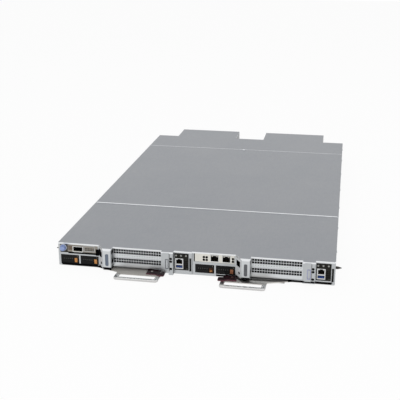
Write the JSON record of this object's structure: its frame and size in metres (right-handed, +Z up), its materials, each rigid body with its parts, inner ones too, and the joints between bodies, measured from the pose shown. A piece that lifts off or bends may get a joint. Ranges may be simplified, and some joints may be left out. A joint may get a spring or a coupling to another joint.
{
  "type": "rack server",
  "caption": "Flat two-node rack server sled with front drive bays, network ports, perforated slot covers, ejector levers with loop grips and a rear busbar clip between fan tabs.",
  "frame": {"origin": "middle of the underside of the overall box", "axes": "+X to the right seen from the front, +Y from the front to the rear, +Z up"},
  "size_m": [0.559, 1.006, 0.047],
  "materials": {
    "galvanised_steel": "zinc-coated sheet, satin",
    "front_steel": "bright zinc-coated sheet",
    "lever_steel": "brushed, rounded grip",
    "burgundy_plastic": "moulded, fine grain",
    "black_plastic": "moulded, fine grain",
    "orange_plastic": "moulded",
    "blue_plastic": "moulded, ribbed",
    "aluminium_fin": "extruded",
    "circuit_board": "solder mask",
    "dark_steel": "black zinc",
    "io_black": "black powder coat",
    "nickel_shell": "nickel plate",
    "lamp_lens": "translucent white",
    "fan_plastic": "glass-filled"
  },
  "bodies": {
    "chassis": {"chassis_base": "galvanised_steel", "front_floor": "galvanised_steel", "front_panel_left": "front_steel", "front_panel_right": "front_steel", "top_cover_front": "galvanised_steel", "top_cover_middle": "galvanised_steel", "top_cover_rear": "galvanised_steel", "cover_screw": "front_steel", "drive_cage_left": "galvanised_steel", "drive_cage_right": "galvanised_steel", "qsfp_bracket": "front_steel", "qsfp_card": "circuit_board", "rj45_bracket": "front_steel", "rj45_card": "circuit_board", "label_posts": "front_steel", "slot_cover_left_upper": "front_steel", "slot_cover_left_lower": "front_steel", "slot_cover_right_upper": "front_steel", "slot_cover_right_lower": "front_steel", "slot_retainers": "front_steel", "io_plate_left": "io_black", "io_plate_right": "io_black", "jack_stack_left": "nickel_shell", "jack_stack_right": "nickel_shell", "status_lamps": "lamp_lens", "lever_pivots": "dark_steel", "guide_pins": "dark_steel", "busbar_connector": "black_plastic", "mainboards": "circuit_board", "heatsinks": "aluminium_fin", "memory_modules": "circuit_board", "rear_grilles": "galvanised_steel", "fan_frames": "fan_plastic"},
    "drive_1": {"drive_carrier_1": "black_plastic", "drive_module_1": "aluminium_fin"},
    "drive_latch_1": {"drive_latch_1": "orange_plastic"},
    "drive_2": {"drive_carrier_2": "black_plastic", "drive_module_2": "aluminium_fin"},
    "drive_latch_2": {"drive_latch_2": "orange_plastic"},
    "drive_3": {"drive_carrier_3": "black_plastic", "drive_module_3": "aluminium_fin"},
    "drive_latch_3": {"drive_latch_3": "orange_plastic"},
    "drive_4": {"drive_carrier_4": "black_plastic", "drive_module_4": "aluminium_fin"},
    "drive_latch_4": {"drive_latch_4": "orange_plastic"},
    "lever_left": {"ejector_lever_left": "lever_steel"},
    "latch_left": {"release_latch_left": "burgundy_plastic"},
    "lever_right": {"ejector_lever_right": "lever_steel"},
    "latch_right": {"release_latch_right": "burgundy_plastic"},
    "button_left": {"power_button_left": "lamp_lens"},
    "button_right": {"power_button_right": "lamp_lens"},
    "thumbscrew": {"card_thumbscrew": "blue_plastic"},
    "fan_1": {"fan_rotor_1": "fan_plastic"},
    "fan_2": {"fan_rotor_2": "fan_plastic"},
    "fan_3": {"fan_rotor_3": "fan_plastic"},
    "fan_4": {"fan_rotor_4": "fan_plastic"},
    "fan_5": {"fan_rotor_5": "fan_plastic"},
    "fan_6": {"fan_rotor_6": "fan_plastic"},
    "fan_7": {"fan_rotor_7": "fan_plastic"},
    "fan_8": {"fan_rotor_8": "fan_plastic"}
  },
  "joints": [
    {"name": "drive_1_slide", "type": "slide", "parent": "chassis", "child": "drive_1", "axis": [0, -1, 0], "range_m": [0, 0.11]},
    {"name": "drive_latch_1_hinge", "type": "hinge", "parent": "drive_1", "child": "drive_latch_1", "pos_m": [-0.2307, -0.4495, 0.0112], "axis": [0, 0, 1], "range_deg": [0, 70]},
    {"name": "drive_2_slide", "type": "slide", "parent": "chassis", "child": "drive_2", "axis": [0, -1, 0], "range_m": [0, 0.11]},
    {"name": "drive_latch_2_hinge", "type": "hinge", "parent": "drive_2", "child": "drive_latch_2", "pos_m": [-0.1907, -0.4495, 0.0112], "axis": [0, 0, 1], "range_deg": [0, 70]},
    {"name": "drive_3_slide", "type": "slide", "parent": "chassis", "child": "drive_3", "axis": [0, -1, 0], "range_m": [0, 0.11]},
    {"name": "drive_latch_3_hinge", "type": "hinge", "parent": "drive_3", "child": "drive_latch_3", "pos_m": [0.0378, -0.4495, 0.0112], "axis": [0, 0, 1], "range_deg": [0, 70]},
    {"name": "drive_4_slide", "type": "slide", "parent": "chassis", "child": "drive_4", "axis": [0, -1, 0], "range_m": [0, 0.11]},
    {"name": "drive_latch_4_hinge", "type": "hinge", "parent": "drive_4", "child": "drive_latch_4", "pos_m": [0.0778, -0.4495, 0.0112], "axis": [0, 0, 1], "range_deg": [0, 70]},
    {"name": "lever_left_hinge", "type": "hinge", "parent": "chassis", "child": "lever_left", "pos_m": [-0.254, -0.429, 0.0017], "axis": [0, 0, -1], "range_deg": [0, 60]},
    {"name": "latch_left_hinge", "type": "hinge", "parent": "lever_left", "child": "latch_left", "pos_m": [-0.078, -0.461, 0.00365], "axis": [0, 0, -1], "range_deg": [0, 12], "stiffness_Nm_per_rad": 0.15},
    {"name": "lever_right_hinge", "type": "hinge", "parent": "chassis", "child": "lever_right", "pos_m": [0.254, -0.429, 0.0017], "axis": [0, 0, 1], "range_deg": [0, 60]},
    {"name": "latch_right_hinge", "type": "hinge", "parent": "lever_right", "child": "latch_right", "pos_m": [0.078, -0.461, 0.00365], "axis": [0, 0, 1], "range_deg": [0, 12], "stiffness_Nm_per_rad": 0.15},
    {"name": "button_left_press", "type": "slide", "parent": "chassis", "child": "button_left", "axis": [0, 1, 0], "range_m": [0, 0.001], "stiffness_N_per_m": 400},
    {"name": "button_right_press", "type": "slide", "parent": "chassis", "child": "button_right", "axis": [0, 1, 0], "range_m": [0, 0.001], "stiffness_N_per_m": 400},
    {"name": "thumbscrew_turn", "type": "hinge", "parent": "chassis", "child": "thumbscrew", "pos_m": [-0.2579, -0.4545, 0.037], "axis": [0, 1, 0], "continuous": true},
    {"name": "fan_1_spin", "type": "hinge", "parent": "chassis", "child": "fan_1", "pos_m": [-0.18918, 0.4728, 0.0212], "axis": [0, 1, 0], "continuous": true},
    {"name": "fan_2_spin", "type": "hinge", "parent": "chassis", "child": "fan_2", "pos_m": [-0.14713, 0.4728, 0.0212], "axis": [0, 1, 0], "continuous": true},
    {"name": "fan_3_spin", "type": "hinge", "parent": "chassis", "child": "fan_3", "pos_m": [-0.10508, 0.4728, 0.0212], "axis": [0, 1, 0], "continuous": true},
    {"name": "fan_4_spin", "type": "hinge", "parent": "chassis", "child": "fan_4", "pos_m": [-0.06302, 0.4728, 0.0212], "axis": [0, 1, 0], "continuous": true},
    {"name": "fan_5_spin", "type": "hinge", "parent": "chassis", "child": "fan_5", "pos_m": [0.06302, 0.4728, 0.0212], "axis": [0, 1, 0], "continuous": true},
    {"name": "fan_6_spin", "type": "hinge", "parent": "chassis", "child": "fan_6", "pos_m": [0.10508, 0.4728, 0.0212], "axis": [0, 1, 0], "continuous": true},
    {"name": "fan_7_spin", "type": "hinge", "parent": "chassis", "child": "fan_7", "pos_m": [0.14713, 0.4728, 0.0212], "axis": [0, 1, 0], "continuous": true},
    {"name": "fan_8_spin", "type": "hinge", "parent": "chassis", "child": "fan_8", "pos_m": [0.18918, 0.4728, 0.0212], "axis": [0, 1, 0], "continuous": true}
  ]
}
